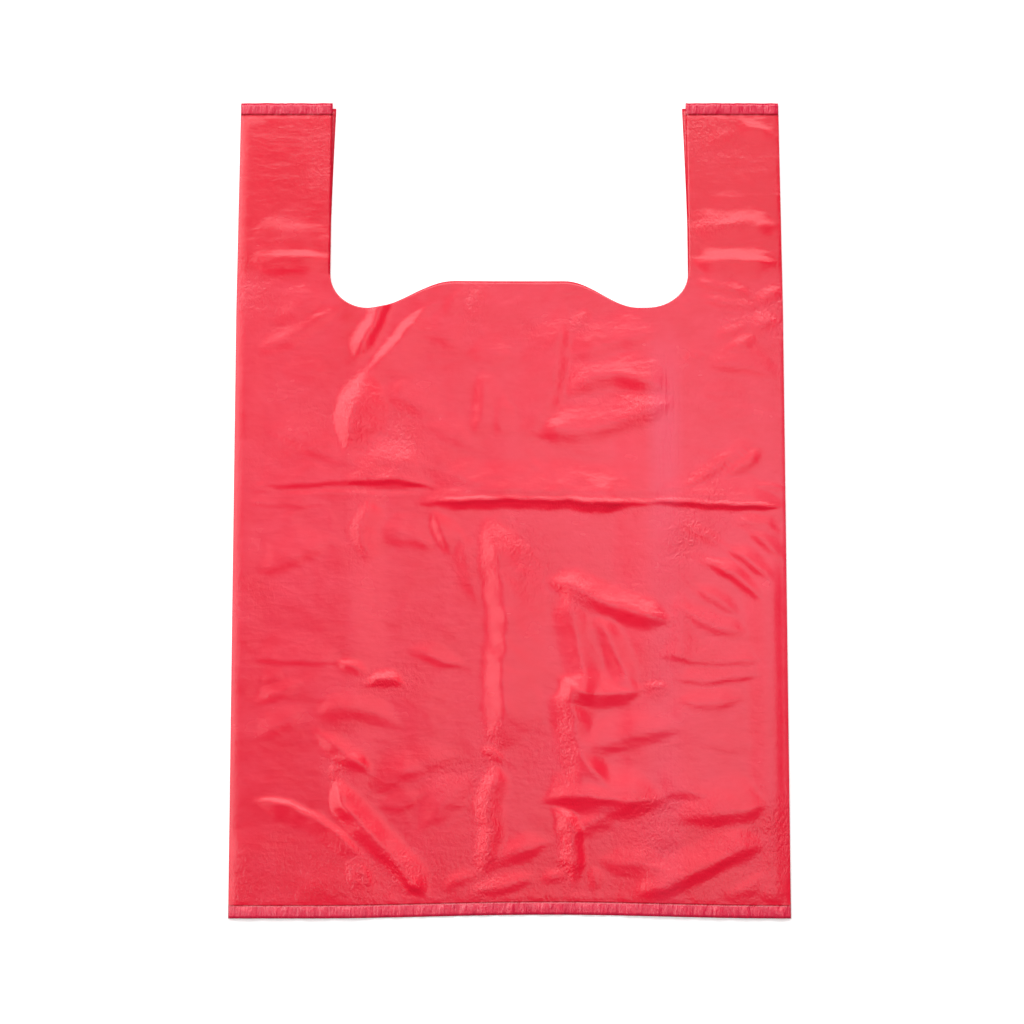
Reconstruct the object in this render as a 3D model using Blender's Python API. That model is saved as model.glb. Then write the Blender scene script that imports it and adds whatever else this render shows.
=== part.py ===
import math

import bmesh
import bpy
import numpy as np

for old in list(bpy.data.objects):
    bpy.data.objects.remove(old, do_unlink=True)

MM = 0.001

# The bag is a film tube laid flat. X runs across it, Y runs from the bottom edge up to the handles,
# and the back panel rests on Z = 0. Sizes are in millimetres, with Y measured from the bottom edge.
WIDTH = 400.0
LENGTH = 595.0
FILM = 0.30
LAYER_PITCH = 0.65

# The side gussets are folded in between the panels, each as two layers.
LEFT_GUSSET_FOLD_X = -117.0
RIGHT_GUSSET_FOLD_X = 103.0
GUSSET_IMPRINT_WIDTH = 12.0

# The die-cut mouth leaves a handle on each side, a scoop beside each handle and a hump between.
LEFT_HANDLE_INNER_X = -131.7
RIGHT_HANDLE_INNER_X = 130.9
SCOOP_TOP_Y = 467.0
SCOOP_BOTTOM_Y = 441.4
LEFT_SCOOP_X = -104.0
RIGHT_SCOOP_X = 100.5
RIGHT_SCOOP_FLAT = 5.5
HUMP_Y = 461.4
HUMP_HALF_FLAT = 40.0

# The rear pair of handle layers has slipped a little inwards and down from under the front pair.
REAR_SLIP = 3.5
REAR_SLIP_START_Y = 485.0
REAR_SLIP_CURVE = 1.3
REAR_TOP_DROP = 3.7

# Each handle leans inwards from the mouth up.
LEAN_START_Y = 440.0
HANDLE_LEAN = 1.5

# Seams: narrow welds through every layer, with a loose skirt of film beyond each.
BOTTOM_WELD_Y = 9.0
TOP_SKIRT = 8.5
WELD_WIDTH = 1.2
WELD_PROUD = 0.20
WELD_FLAT = 2.6
WELD_RISE_LENGTH = 14.0
BOTTOM_BOW = 2.6
BOTTOM_BOW_X = 28.0
BOTTOM_BOW_REACH = 169.0
BOTTOM_BOW_DEPTH = 60.0
BOTTOM_WASTE = 2.0
SKIRT_RIPPLE = 0.9
SKIRT_RIPPLE_PITCH = 17.0
SKIRT_RIPPLE_RISE = 5.0
WELD_STATION_GAP = 40.0
WELD_END_INSET = 0.22

# The front panel stands a little proud just inside the side folds.
EDGE_PUFF = 0.8
EDGE_PUFF_WIDTH = 17.0
EDGE_PUFF_FALL = 8.0
EDGE_RISE = 5.0
EDGE_FLAT = 2.0

# How far each crease takes to die away at its ends.
CREASE_TAPER = 18.0
CREASE_OVERRUN = 3.0

GRID = 3.5
FOLD_STEPS = 4
ARC_STEPS = 8
CUTTER_RUN = 8.0
CUTTER_LAP = 0.03
FRONT_KEEP = 0.303
FRONT_STEEPEST = 0.78

HALF = WIDTH / 2
FOLD_R = LAYER_PITCH / 2
FOLD_CENTRE_X = HALF - FILM / 2 - FOLD_R
Z_BACK = FILM / 2
Z_GUSSET_LOW = Z_BACK + LAYER_PITCH
Z_GUSSET_HIGH = Z_GUSSET_LOW + LAYER_PITCH
Z_FRONT = Z_GUSSET_HIGH + LAYER_PITCH
Z_FRONT_CENTRE = Z_BACK + LAYER_PITCH
TOP_WELD_Y = LENGTH - TOP_SKIRT
REAR_TOP_Y = LENGTH - REAR_TOP_DROP

# Creases of the front panel: crest points from left to right or from bottom to top, the rise of
# the crest, then the width of the flank on the left of that line and of the flank on the right.
CREASES = [
    # the fold across the middle from packing, in two stretches
    ([(-182, 311), (-140, 313), (-105, 315), (-85, 315), (-50, 309)], 2.2, 14, 8),
    ([(-168, 303), (-128, 304), (-88, 303)], 0.9, 3, 10),
    ([(-64, 298), (0, 300), (40, 300), (60, 296), (80, 300), (140, 298), (198, 297)], 2.1, 4, 8),
    ([(-102, 333), (-66, 326), (-28, 315)], 1.2, 16, 12),
    # the second packing fold, lower down
    ([(-196, 184), (-150, 183), (-118, 180), (-104, 176)], 0.9, 7, 4),
    ([(-112, 172), (-100, 171), (-88, 170), (-77, 165)], 1.7, 5, 7),
    ([(-74, 189), (-45, 181), (-34, 180)], 1.1, 6, 5),
    ([(34, 166), (50, 160), (70, 159), (95, 161), (110, 165)], 2.3, 8, 9),
    ([(112, 184), (150, 184), (190, 185)], 0.9, 6, 5),
    ([(118, 171), (150, 170), (188, 173)], 1.0, 6, 5),
    ([(122, 155), (150, 154), (174, 156)], 0.9, 6, 6),
    # the long ridge down the middle and its crumpled foot
    ([(-13, 118), (-7, 160), (-7, 200), (-12, 220), (-28, 262), (-34, 282)], 3.3, 7, 7),
    ([(-27, 28), (-25, 60), (-24, 82), (-17, 112)], 2.8, 8, 8),
    ([(-62, 64), (-45, 80), (-26, 100)], 1.4, 14, 9),
    # left of the ridge, upper part
    ([(-122, 328), (-126, 350), (-125, 365), (-118, 380), (-111, 400), (-97, 438)], 3.0, 8, 8),
    ([(-190, 408), (-160, 420), (-126, 441)], 1.5, 7, 8),
    ([(-180, 350), (-160, 345), (-143, 335), (-116, 327)], 1.3, 8, 8),
    ([(-100, 380), (-60, 365), (-38, 354), (-18, 333)], 1.3, 10, 9),
    ([(-70, 424), (-40, 414), (-10, 407)], 0.8, 8, 8),
    ([(-192, 248), (-150, 258), (-118, 270)], 1.3, 9, 7),
    ([(-100, 271), (-80, 272), (-48, 264)], 1.1, 8, 7),
    ([(-110, 258), (-108, 280), (-101, 303)], 1.6, 6, 6),
    # left of the ridge, lower part
    ([(-182, 134), (-155, 147), (-120, 160)], 1.3, 8, 8),
    ([(-182, 151), (-160, 163), (-138, 175)], 0.9, 6, 6),
    ([(-140, 144), (-115, 150), (-95, 144), (-77, 136)], 1.5, 8, 9),
    ([(-140, 135), (-122, 120), (-96, 104)], 1.9, 8, 8),
    ([(-123, 88), (-112, 72), (-100, 60), (-85, 43), (-66, 27)], 2.8, 14, 10),
    ([(-182, 84), (-165, 84), (-140, 76), (-112, 60), (-98, 50)], 1.8, 6, 10),
    ([(-112, 22), (-118, 46)], 1.6, 5, 5),
    ([(-103, 18), (-111, 40)], 1.4, 4, 5),
    ([(-100, 84), (-85, 98), (-60, 108), (-34, 119)], 1.0, 9, 8),
    # right of the ridge, upper part
    ([(3, 338), (18, 352), (29, 372), (34, 396), (38, 438)], 1.9, 9, 8),
    ([(44, 384), (60, 391), (80, 393), (110, 386)], 1.1, 9, 8),
    ([(28, 352), (55, 348), (80, 355), (110, 366)], 1.3, 9, 8),
    ([(50, 407), (68, 411), (94, 421)], 0.9, 8, 7),
    ([(142, 401), (170, 397), (197, 391)], 0.8, 8, 5),
    ([(124, 307), (150, 321), (188, 345)], 1.5, 8, 8),
    ([(158, 318), (180, 333)], 1.1, 7, 7),
    # right of the ridge, the pocket and its spurs
    ([(31, 240), (45, 238), (60, 228), (75, 222), (95, 218), (110, 222)], 2.5, 5, 10),
    ([(52, 164), (45, 180), (42, 200), (38, 226)], 2.1, 6, 7),
    ([(50, 100), (42, 118), (37, 135), (34, 156)], 2.2, 6, 7),
    ([(82, 178), (70, 196), (57, 216)], 1.3, 6, 7),
    ([(115, 168), (118, 200), (121, 232)], 0.9, 7, 7),
    ([(124, 225), (140, 212), (166, 204)], 1.1, 8, 7),
    ([(152, 246), (168, 238), (184, 222)], 1.1, 8, 7),
    ([(160, 262), (178, 251), (194, 234)], 1.0, 7, 7),
    ([(168, 281), (196, 274)], 0.9, 7, 6),
    # right of the ridge, lower part
    ([(48, 125), (65, 122), (80, 125), (100, 131), (132, 137)], 1.7, 10, 10),
    ([(25, 83), (45, 87), (80, 85), (110, 85), (132, 88), (190, 96)], 3.0, 20, 9),
    ([(44, 28), (42, 48), (38, 66), (27, 77)], 1.9, 6, 6),
    ([(46, 52), (62, 64), (86, 79)], 1.6, 7, 9),
    ([(114, 61), (140, 68), (165, 73), (198, 82)], 1.7, 7, 8),
    ([(62, 41), (90, 37), (114, 36)], 1.3, 7, 9),
    ([(88, 17), (115, 25), (140, 36), (165, 48), (184, 54)], 2.5, 15, 8),
    ([(-12, 37), (10, 47), (22, 51), (36, 55)], 2.1, 9, 8),
    ([(-46, 19), (-20, 21), (2, 25), (20, 33)], 1.3, 7, 6),
    # the handles
    ([(-199, 477), (-132, 478)], 1.7, 6, 13),
    ([(-168, 484), (-132, 487)], 1.0, 5, 4),
    ([(-198, 496), (-156, 497)], 0.8, 9, 5),
    ([(131, 477), (199, 476)], 1.9, 4, 13),
    ([(131, 481), (199, 481)], 1.1, 8, 4),
    ([(134, 503), (199, 502)], 1.5, 9, 12),
    ([(131, 462), (160, 457)], 1.1, 6, 6),
    ([(166, 580), (184, 579), (198, 571)], 0.9, 6, 6),
]


def smooth(t):
    """Goes from 0 to 1 with flat ends."""
    t = np.clip(t, 0.0, 1.0)
    return t * t * (3.0 - 2.0 * t)


def weld_line(x):
    """The bottom weld bows up in the middle."""
    reach = np.clip(np.abs(x - BOTTOM_BOW_X) / BOTTOM_BOW_REACH, 0.0, 1.0)
    return BOTTOM_WELD_Y + BOTTOM_BOW * (0.5 + 0.5 * np.cos(math.pi * reach))


def front_base(x):
    """Height of the smooth front panel, which sinks where no gusset lies under it."""
    left = smooth((LEFT_GUSSET_FOLD_X + 1.0 + GUSSET_IMPRINT_WIDTH - x) / GUSSET_IMPRINT_WIDTH)
    right = smooth((x - RIGHT_GUSSET_FOLD_X + 1.0 + GUSSET_IMPRINT_WIDTH) / GUSSET_IMPRINT_WIDTH)
    return Z_FRONT_CENTRE + (Z_FRONT - Z_FRONT_CENTRE) * np.maximum(left, right)


def crease_height(x, y, points, rise, left_width, right_width):
    """A crest along a line of points, with its own width of flank on each side."""
    path = np.array(points, float)
    steps = np.diff(path, axis=0)
    lengths = np.hypot(steps[:, 0], steps[:, 1])
    starts = np.concatenate([[0.0], np.cumsum(lengths)])
    nearest = np.full(x.shape, 1e9)
    side = np.zeros(x.shape)
    along = np.zeros(x.shape)
    for i in range(len(steps)):
        ax = x - path[i, 0]
        ay = y - path[i, 1]
        t = np.clip((ax * steps[i, 0] + ay * steps[i, 1]) / lengths[i] ** 2, 0.0, 1.0)
        dx = ax - t * steps[i, 0]
        dy = ay - t * steps[i, 1]
        distance = np.hypot(dx, dy)
        closer = distance < nearest
        nearest = np.where(closer, distance, nearest)
        side = np.where(closer, steps[i, 0] * dy - steps[i, 1] * dx, side)
        along = np.where(closer, starts[i] + t * lengths[i], along)
    width = np.where(side > 0, left_width, right_width)
    taper = min(CREASE_TAPER, 0.4 * starts[-1])
    left_end = smooth((along + CREASE_OVERRUN) / taper)
    right_end = smooth((starts[-1] - along + CREASE_OVERRUN) / taper)
    return rise * left_end * right_end * (1.0 - smooth(nearest / width))


def front_height(x, y):
    """Height of the creased front panel."""
    raised = np.zeros(x.shape)
    for points, rise, left_width, right_width in CREASES:
        raised = np.maximum(raised, crease_height(x, y, points, rise, left_width, right_width))
    inset = FOLD_CENTRE_X - np.abs(x)
    edge_rise = smooth((inset - EDGE_FLAT) / EDGE_RISE)
    raised = np.maximum(raised, EDGE_PUFF * smooth((EDGE_PUFF_WIDTH - inset) / EDGE_PUFF_FALL))
    raised = raised * edge_rise
    above_bottom = y - weld_line(x)
    below_top = TOP_WELD_Y - y
    raised = raised * smooth((above_bottom - WELD_FLAT) / WELD_RISE_LENGTH)
    raised = raised * smooth((below_top - WELD_FLAT) / WELD_RISE_LENGTH)
    phase = 2.0 * math.pi * (x + 0.03 * x * np.sin(x / 31.0)) / SKIRT_RIPPLE_PITCH
    ripple = SKIRT_RIPPLE * (0.5 + 0.5 * np.sin(phase)) * edge_rise
    bottom_skirt = smooth((-above_bottom - WELD_FLAT) / SKIRT_RIPPLE_RISE)
    top_skirt = smooth((-below_top - WELD_FLAT) / SKIRT_RIPPLE_RISE)
    on_handles = smooth((np.abs(x) - RIGHT_HANDLE_INNER_X) / EDGE_RISE + 2.0)
    return front_base(x) + raised + ripple * (bottom_skirt + top_skirt * on_handles)


def turn(centre_x, centre_z, start, end):
    """Section points round one fold, leaving out both its ends."""
    angles = np.radians(np.linspace(start, end, FOLD_STEPS + 1)[1:-1])
    return [(centre_x + FOLD_R * math.cos(a), centre_z + FOLD_R * math.sin(a)) for a in angles]


def section():
    """Section of the tube at its mid-surface, once round, with the front panel's part last."""
    low = (Z_BACK + Z_GUSSET_LOW) / 2
    middle = (Z_GUSSET_LOW + Z_GUSSET_HIGH) / 2
    high = (Z_GUSSET_HIGH + Z_FRONT) / 2
    left_in = LEFT_GUSSET_FOLD_X - FOLD_R
    right_in = RIGHT_GUSSET_FOLD_X + FOLD_R
    outer = FOLD_CENTRE_X
    points = [(-outer + EDGE_FLAT, Z_FRONT), (-outer, Z_FRONT)]
    points += turn(-outer, high, 90, 270)
    points += [(-outer, Z_GUSSET_HIGH), (left_in, Z_GUSSET_HIGH)]
    points += turn(left_in, middle, 90, -90)
    points += [(left_in, Z_GUSSET_LOW), (-outer, Z_GUSSET_LOW)]
    points += turn(-outer, low, 90, 270)
    points += [(-outer, Z_BACK), (outer, Z_BACK)]
    points += turn(outer, low, -90, 90)
    points += [(outer, Z_GUSSET_LOW), (right_in, Z_GUSSET_LOW)]
    points += turn(right_in, middle, 270, 90)
    points += [(right_in, Z_GUSSET_HIGH), (outer, Z_GUSSET_HIGH)]
    points += turn(outer, high, -90, 90)
    points += [(outer, Z_FRONT), (outer - EDGE_FLAT, Z_FRONT)]
    return points


def lean(x, y):
    """Leans the handles inwards."""
    return x * (1.0 - HANDLE_LEAN / HALF * np.clip((y - LEAN_START_Y) / (LENGTH - LEAN_START_Y), 0.0, 1.0))


def metres(x, y, z):
    """A point in metres, with the origin at the middle of the bag's length."""
    return (x * MM, (y - LENGTH / 2) * MM, z * MM)


def new_object(name, mesh):
    thing = bpy.data.objects.new(name, mesh)
    bpy.context.scene.collection.objects.link(thing)
    return thing


def film_mesh():
    """Mid-surface of the whole tube: the folds and flat layers as strips, the front as a grid."""
    low_rows = [-BOTTOM_WASTE, 0.28 * BOTTOM_WELD_Y, BOTTOM_WELD_Y - WELD_FLAT, BOTTOM_WELD_Y + WELD_FLAT]
    high_rows = [TOP_WELD_Y - WELD_FLAT, TOP_WELD_Y + WELD_FLAT, LENGTH - 0.35 * TOP_SKIRT, LENGTH]
    inner_rows = np.linspace(low_rows[-1] + GRID, high_rows[0] - GRID, int(LENGTH / GRID) - 8)
    inner_rows[np.argmin(np.abs(inner_rows - LEAN_START_Y))] = LEAN_START_Y
    rows = np.concatenate([low_rows, inner_rows, high_rows])
    inner_edge = FOLD_CENTRE_X - EDGE_FLAT
    columns = np.linspace(inner_edge, -inner_edge, int(WIDTH / GRID) + 1)[1:-1]
    around = section()
    loop = len(around) + len(columns)
    x = np.empty((len(rows), loop))
    z = np.empty((len(rows), loop))
    y = np.repeat(rows[:, None], loop, axis=1)
    x[:, :len(around)] = [p[0] for p in around]
    z[:, :len(around)] = [p[1] for p in around]
    x[:, len(around):] = columns
    bow_share = 1.0 - smooth(rows / BOTTOM_BOW_DEPTH)
    y[:, len(around):] += bow_share[:, None] * (weld_line(columns) - BOTTOM_WELD_Y)
    z[:, len(around):] = front_height(x[:, len(around):], y[:, len(around):])
    x = lean(x, y)
    bm = bmesh.new()
    ring = []
    for j in range(len(rows)):
        ring.append([bm.verts.new(metres(x[j, i], y[j, i], z[j, i])) for i in range(loop)])
    for j in range(len(rows) - 1):
        for i in range(loop):
            k = (i + 1) % loop
            bm.faces.new((ring[j][i], ring[j + 1][i], ring[j + 1][k], ring[j][k]))
    mesh = bpy.data.meshes.new("film")
    bm.to_mesh(mesh)
    bm.free()
    creased_rows = range(len(low_rows), len(rows) - len(high_rows))
    inner = [j * loop + i for j in creased_rows for i in range(len(around), loop)]
    return mesh, inner


def thinned_film(mesh, inner):
    """Keeps the front panel's grid dense only at its creases, and makes each flat strip one face."""
    grid = new_object("film_grid", mesh)
    grid.vertex_groups.new(name="front").add(inner, 1.0, "REPLACE")
    thin = grid.modifiers.new("thin", "DECIMATE")
    thin.ratio = FRONT_KEEP
    thin.vertex_group = "front"
    thin.use_collapse_triangulate = True
    graph = bpy.context.evaluated_depsgraph_get()
    thinned = bpy.data.meshes.new_from_object(grid.evaluated_get(graph))
    bpy.data.objects.remove(grid, do_unlink=True)
    thinned.name = "carrier_bag"
    bm = bmesh.new()
    bm.from_mesh(thinned)
    weight = bm.verts.layers.deform.active

    def is_creased(vert):
        return vert[weight].get(0, 0.0) > 0.5

    plain = {v for v in bm.verts if not is_creased(v)}
    edges = [e for e in bm.edges if e.verts[0] in plain and e.verts[1] in plain]
    bmesh.ops.dissolve_limit(bm, angle_limit=math.radians(0.2), verts=list(plain), edges=edges)
    for _ in range(12):
        steep = [f for f in bm.faces if f.normal.z < FRONT_STEEPEST and any(is_creased(v) for v in f.verts)]
        apexes = {v for v in map(sliver_apex, steep) if is_creased(v)}
        if not apexes:
            break
        strips = {f for f in bm.faces if len(f.verts) > 3}
        bmesh.ops.dissolve_verts(bm, verts=list(apexes))
        bmesh.ops.triangulate(bm, faces=[f for f in bm.faces if len(f.verts) > 3 and f not in strips])
    bm.to_mesh(thinned)
    bm.free()
    return thinned


def sliver_apex(face):
    """The corner opposite a thin triangle's longest side."""
    longest = max(face.edges, key=lambda e: e.calc_length())
    return next(v for v in face.verts if v not in longest.verts)


def prism(name, outline, bottom, top):
    """A hidden cutter: an outline in millimetres raised from one height to another."""
    bm = bmesh.new()
    face = bm.faces.new([bm.verts.new(metres(px, py, bottom)) for px, py in outline])
    made = bmesh.ops.extrude_face_region(bm, geom=[face])
    raised = [v for v in made["geom"] if isinstance(v, bmesh.types.BMVert)]
    bmesh.ops.translate(bm, verts=raised, vec=(0, 0, (top - bottom) * MM))
    bmesh.ops.recalc_face_normals(bm, faces=bm.faces)
    mesh = bpy.data.meshes.new(name)
    bm.to_mesh(mesh)
    bm.free()
    cutter = new_object(name, mesh)
    cutter.hide_render = True
    cutter.display_type = "WIRE"
    return cutter


def mouth_outline(rear):
    """The die-cut mouth, from the top of the left handle round to the top of the right one."""
    def edge(x, y):
        shift = HANDLE_LEAN * abs(x) / HALF * max(0.0, (y - LEAN_START_Y) / (LENGTH - LEAN_START_Y))
        if rear and REAR_SLIP_START_Y < y <= REAR_TOP_Y:
            share = (y - REAR_SLIP_START_Y) / (REAR_TOP_Y - REAR_SLIP_START_Y)
            shift = REAR_SLIP * share ** REAR_SLIP_CURVE
        elif rear and y <= REAR_SLIP_START_Y:
            shift = 0.0
        return (x - math.copysign(shift, x), y)

    if rear:
        slipped = np.linspace(REAR_TOP_Y, REAR_SLIP_START_Y, 5)
        heights = [LENGTH + CUTTER_RUN, REAR_TOP_Y + FILM, *slipped]
    else:
        heights = [LENGTH + CUTTER_RUN, REAR_SLIP_START_Y]
    outline = [edge(LEFT_HANDLE_INNER_X, y) for y in heights]
    depth = SCOOP_TOP_Y - SCOOP_BOTTOM_Y
    rise = HUMP_Y - SCOOP_BOTTOM_Y
    for angle in np.radians(np.linspace(180, 270, ARC_STEPS + 1)):
        reach = LEFT_SCOOP_X - LEFT_HANDLE_INNER_X
        outline.append((LEFT_SCOOP_X + reach * math.cos(angle), SCOOP_TOP_Y + depth * math.sin(angle)))
    for t in np.linspace(0, 1, ARC_STEPS + 1)[1:]:
        x = LEFT_SCOOP_X + t * (-HUMP_HALF_FLAT - LEFT_SCOOP_X)
        outline.append((x, SCOOP_BOTTOM_Y + rise * (0.5 - 0.5 * math.cos(math.pi * t))))
    for t in np.linspace(1, 0, ARC_STEPS + 1):
        x = RIGHT_SCOOP_X - RIGHT_SCOOP_FLAT + t * (HUMP_HALF_FLAT - RIGHT_SCOOP_X + RIGHT_SCOOP_FLAT)
        outline.append((x, SCOOP_BOTTOM_Y + rise * (0.5 - 0.5 * math.cos(math.pi * t))))
    for angle in np.radians(np.linspace(270, 360, ARC_STEPS + 1)):
        reach = RIGHT_HANDLE_INNER_X - RIGHT_SCOOP_X
        outline.append((RIGHT_SCOOP_X + reach * math.cos(angle), SCOOP_TOP_Y + depth * math.sin(angle)))
    outline += [edge(RIGHT_HANDLE_INNER_X, y) for y in reversed(heights)]
    return outline


def bottom_outline():
    """What is trimmed from the bottom skirt, whose edge bows up with the weld."""
    far = HALF + CUTTER_RUN
    outline = [(-far, -CUTTER_RUN), (far, -CUTTER_RUN)]
    for x in np.linspace(far, -far, 2 * ARC_STEPS + 3):
        outline.append((x, weld_line(x) - BOTTOM_WELD_Y))
    return outline


def weld_bar(name, middle_y, ends):
    """One weld: a bar through every layer that stands a little proud of the front panel."""
    ramps = [LEFT_GUSSET_FOLD_X + 1.0 + GUSSET_IMPRINT_WIDTH * t for t in (0.0, 0.25, 0.5, 0.75, 1.0)]
    ramps += [RIGHT_GUSSET_FOLD_X - 1.0 - GUSSET_IMPRINT_WIDTH * t for t in (0.0, 0.25, 0.5, 0.75, 1.0)]
    evenly = np.linspace(ends[0], ends[1], int((ends[1] - ends[0]) / WELD_STATION_GAP) + 2)
    apart = [x for x in evenly if min(abs(x - r) for r in ramps) > 3.0]
    stations = sorted(apart + [r for r in ramps if ends[0] < r < ends[1]])
    bm = bmesh.new()
    rings = []
    for x in stations:
        y = middle_y(x)
        top = float(front_base(x)) + FILM / 2 + WELD_PROUD
        near = y - WELD_WIDTH / 2
        far = y + WELD_WIDTH / 2
        low = FILM / 6
        corners = [(near, low), (far, low), (far, top), (near, top)]
        rings.append([bm.verts.new(metres(float(lean(x, y)), cy, cz)) for cy, cz in corners])
    for first, second in zip(rings, rings[1:]):
        for i in range(4):
            k = (i + 1) % 4
            bm.faces.new((first[i], first[k], second[k], second[i]))
    bm.faces.new(rings[0])
    bm.faces.new(rings[-1])
    bmesh.ops.recalc_face_normals(bm, faces=bm.faces)
    bmesh.ops.triangulate(bm, faces=bm.faces)
    mesh = bpy.data.meshes.new(name)
    bm.to_mesh(mesh)
    bm.free()
    bar = new_object(name, mesh)
    bar.hide_render = True
    bar.display_type = "WIRE"
    return bar


def combine(target, operation, other):
    step = target.modifiers.new(other.name, "BOOLEAN")
    step.operation = operation
    step.solver = "EXACT"
    step.object = other


film, front_points = film_mesh()
bag = new_object("carrier_bag", thinned_film(film, front_points))

wall = bag.modifiers.new("film", "SOLIDIFY")
wall.thickness = FILM * MM
wall.offset = 0.0
wall.use_rim = True
wall.use_even_offset = False

bar_end = HALF - WELD_END_INSET
combine(bag, "UNION", weld_bar("bottom_weld", weld_line, (-bar_end, bar_end)))
combine(bag, "UNION", weld_bar("left_top_weld", lambda x: TOP_WELD_Y, (-bar_end, LEFT_SCOOP_X)))
combine(bag, "UNION", weld_bar("right_top_weld", lambda x: TOP_WELD_Y, (RIGHT_SCOOP_X, bar_end)))

under = -CUTTER_RUN
over = Z_FRONT + CUTTER_RUN
split = (Z_GUSSET_LOW + Z_GUSSET_HIGH) / 2
combine(bag, "DIFFERENCE", prism("mouth_front_layers", mouth_outline(False), split - CUTTER_LAP, over))
combine(bag, "DIFFERENCE", prism("mouth_rear_layers", mouth_outline(True), under, split + CUTTER_LAP))
combine(bag, "DIFFERENCE", prism("bottom_trim", bottom_outline(), under, over))

red_film = bpy.data.materials.new("red_film")
red_film.use_nodes = True
surface = red_film.node_tree.nodes["Principled BSDF"]
surface.inputs["Base Color"].default_value = (0.90, 0.065, 0.10, 1.0)
surface.inputs["Roughness"].default_value = 0.38
surface.inputs["Metallic"].default_value = 0.0
bag.data.materials.append(red_film)
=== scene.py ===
import math

import bmesh
import bpy
import numpy as np
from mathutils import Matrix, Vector


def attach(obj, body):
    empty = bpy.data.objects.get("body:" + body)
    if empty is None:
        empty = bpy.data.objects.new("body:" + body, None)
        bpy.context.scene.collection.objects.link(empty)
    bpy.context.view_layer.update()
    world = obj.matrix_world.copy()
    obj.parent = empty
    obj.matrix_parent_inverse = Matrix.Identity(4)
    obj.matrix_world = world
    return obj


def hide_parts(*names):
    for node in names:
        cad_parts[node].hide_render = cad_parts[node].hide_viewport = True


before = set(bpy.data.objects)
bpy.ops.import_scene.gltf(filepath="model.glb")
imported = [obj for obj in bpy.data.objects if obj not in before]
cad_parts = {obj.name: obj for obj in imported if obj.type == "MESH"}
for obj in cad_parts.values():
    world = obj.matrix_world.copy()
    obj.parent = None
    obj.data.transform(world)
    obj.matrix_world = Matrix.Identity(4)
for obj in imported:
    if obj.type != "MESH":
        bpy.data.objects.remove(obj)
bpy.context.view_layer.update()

MM = 0.001

# Size of the bag as it lies, in millimetres, with Y measured from its bottom edge.
LENGTH = 595.0
HALF = 200.0
FILM = 0.16

# Heights of the four layers at the sides, at the middle of the film.
PITCH = 0.65
Z_BACK = 0.15
Z_GUSSET_LOW = Z_BACK + PITCH
Z_GUSSET_HIGH = Z_GUSSET_LOW + PITCH
Z_FRONT = Z_GUSSET_HIGH + PITCH
Z_FRONT_CENTRE = Z_BACK + PITCH
FOLD_R = PITCH / 2
FOLD_X = HALF - FILM / 2 - FOLD_R
FOLD_STEPS = 4

# Where the gussets end inside the bag, and over how far the front panel comes down beyond them.
LEFT_GUSSET_X = -117.0
RIGHT_GUSSET_X = 103.0
IMPRINT = 30.0

# The die-cut mouth. The rows of the front panel close up towards it from BLOCK_START on.
LEFT_INNER = -131.7
RIGHT_INNER = 130.9
SCOOP_TOP = 467.0
SCOOP_BOTTOM = 441.4
LEFT_SCOOP = -104.0
RIGHT_SCOOP = 100.5
RIGHT_FLAT = 5.5
HUMP = 461.4
HUMP_HALF = 40.0
BLOCK_START = 436.0

# The welds. The bottom one bows upwards, and the film steps up from it.
BOTTOM_WELD = 9.0
BOW = 2.6
BOW_X = 28.0
BOW_REACH = 169.0
BOW_DEPTH = 60.0
WELD_STEP = 0.5
TOP_WELD = 586.5
TOP_SKIRT_START = 587.5

# The handles lean inwards, and their rear layers have slipped inwards from under the front ones.
LEAN_START = 440.0
LEAN = 1.5
SLIP_START = 485.0
SLIP_END = 591.3
SLIP = 3.5
REAR_DROP = 3.7

# How far the front panel swells beside its edge folds, and how high the skirts ripple.
LEFT_PUFF = 0.5
RIGHT_PUFF_HIGH = 0.1
RIGHT_PUFF_LOW = 1.2
SHORT_RIPPLE = 0.75
LONG_RIPPLE = 0.45

# The flat layers under the front panel have points only at these heights.
STATIONS = (0.0, 60.0, BLOCK_START, LEAN_START, SCOOP_TOP, SLIP_START, 505.0, 525.0, 545.0, 565.0,
            TOP_SKIRT_START, LENGTH)

# Rows of the front panel: close at the welds, and finer where the sharpest folds cross the bag.
BOTTOM_ROWS = [0.0, 2.2, 4.4, 6.4, 8.0, 8.6, 9.0, 9.4, 9.8, 10.6, 12.0, 13.8]
TOP_ROWS = [582.6, 584.2, 585.5, 586.1, 586.5, 586.9, TOP_SKIRT_START, 588.8, 590.6, 592.8, LENGTH]
FINE_BANDS = ((76, 92), (150, 172), (176, 187), (287, 317))
FINE_ROW = 1.35
PLAIN_ROW = 2.4

# The layers of the tube: the front panel, the gusset layer next to it, and the two behind them.
FRONT = 0
GUSSET = 1
REAR = 2

# Colours of the film.
DEEP_RED = (0.74, 0.001, 0.022, 1.0)
# The paler colour carries painted sheen as well as the film's paler tone.
PALE_SHEEN_RED = (0.85, 0.038, 0.080, 1.0)
# Painted shade and glow of light through the film, for steep creases.
CREASE_SHADE_RED = (0.94, 0.001, 0.030, 1.0)
BAND_RED = (0.84, 0.080, 0.150, 1.0)
SKIRT_RED = (0.66, 0.018, 0.080, 1.0)
WELD_RED = (0.38, 0.001, 0.010, 1.0)
BUMP_STRENGTH = 0.7
BUMP_DEPTH = 0.0011

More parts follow.
